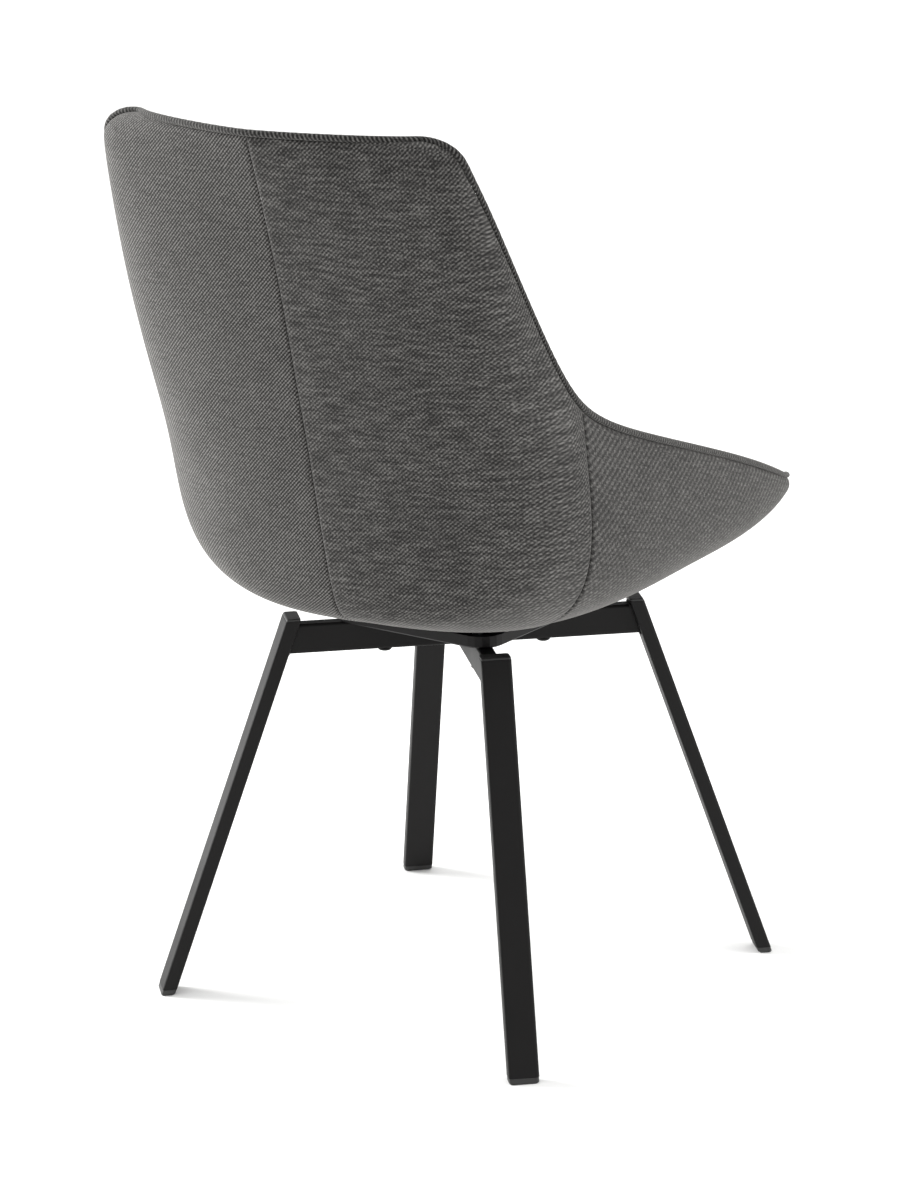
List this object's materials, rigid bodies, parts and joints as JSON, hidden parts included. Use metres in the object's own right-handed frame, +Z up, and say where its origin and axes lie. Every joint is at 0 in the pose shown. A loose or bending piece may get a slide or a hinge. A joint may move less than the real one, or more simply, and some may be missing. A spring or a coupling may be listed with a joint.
{
  "type": "dining chair",
  "caption": "Upholstered bucket-seat dining chair that swivels on a splayed leg base of black rectangular steel tube.",
  "frame": {"origin": "middle of the chair's footprint box, on the floor plane; the swivel axis is the vertical line x = 0, y = -0.0544 m", "axes": "+Z up; the chair faces -Y; +X is the sitter's left"},
  "size_m": [0.5014, 0.6695, 0.9359],
  "materials": {
    "charcoal_woven_fabric": "woven upholstery fabric",
    "charcoal_pad_fabric": "woven upholstery fabric over foam",
    "charcoal_welt": "piping covered in the same fabric",
    "moulded_plywood": "raw birch plywood",
    "black_steel": "fine-texture black powder coat",
    "black_nylon": "moulded nylon",
    "zinc_steel": "zinc plated"
  },
  "bodies": {
    "base": {"leg_front_right": "black_steel", "leg_front_left": "black_steel", "leg_rear_left": "black_steel", "leg_rear_right": "black_steel", "leg_plug_front_right": "black_nylon", "leg_plug_front_left": "black_nylon", "leg_plug_rear_left": "black_nylon", "leg_plug_rear_right": "black_nylon", "foot_glide_front_right": "black_nylon", "foot_glide_front_left": "black_nylon", "foot_glide_rear_left": "black_nylon", "foot_glide_rear_right": "black_nylon", "cross_arm_through": "black_steel", "cross_arm_left_half": "black_steel", "cross_arm_right_half": "black_steel", "swivel_tray": "black_steel", "tray_bolt_front_right": "black_steel", "tray_bolt_front_left": "black_steel", "tray_bolt_rear_left": "black_steel", "tray_bolt_rear_right": "black_steel", "tray_nut_front_right": "zinc_steel", "tray_nut_front_left": "zinc_steel", "tray_nut_rear_left": "zinc_steel", "tray_nut_rear_right": "zinc_steel", "swivel_spindle": "zinc_steel", "bearing_ring": "black_nylon", "retaining_ring": "zinc_steel"},
    "seat": {"swivel_plate": "black_steel", "seat_screw_front_right": "zinc_steel", "tee_nut_front_right": "zinc_steel", "seat_screw_front_left": "zinc_steel", "tee_nut_front_left": "zinc_steel", "seat_screw_rear_right": "zinc_steel", "tee_nut_rear_right": "zinc_steel", "seat_screw_rear_left": "zinc_steel", "tee_nut_rear_left": "zinc_steel", "seat_shell_board": "moulded_plywood", "outer_back_left": "charcoal_woven_fabric", "outer_back_right": "charcoal_woven_fabric", "outer_seat_panel": "charcoal_woven_fabric", "back_pad": "charcoal_pad_fabric", "seat_pad": "charcoal_pad_fabric", "edge_piping": "charcoal_welt"}
  },
  "joints": [
    {"name": "seat_swivel", "type": "hinge", "parent": "base", "child": "seat", "pos_m": [0, -0.0544, 0.39], "axis": [0, 0, 1], "continuous": true}
  ]
}
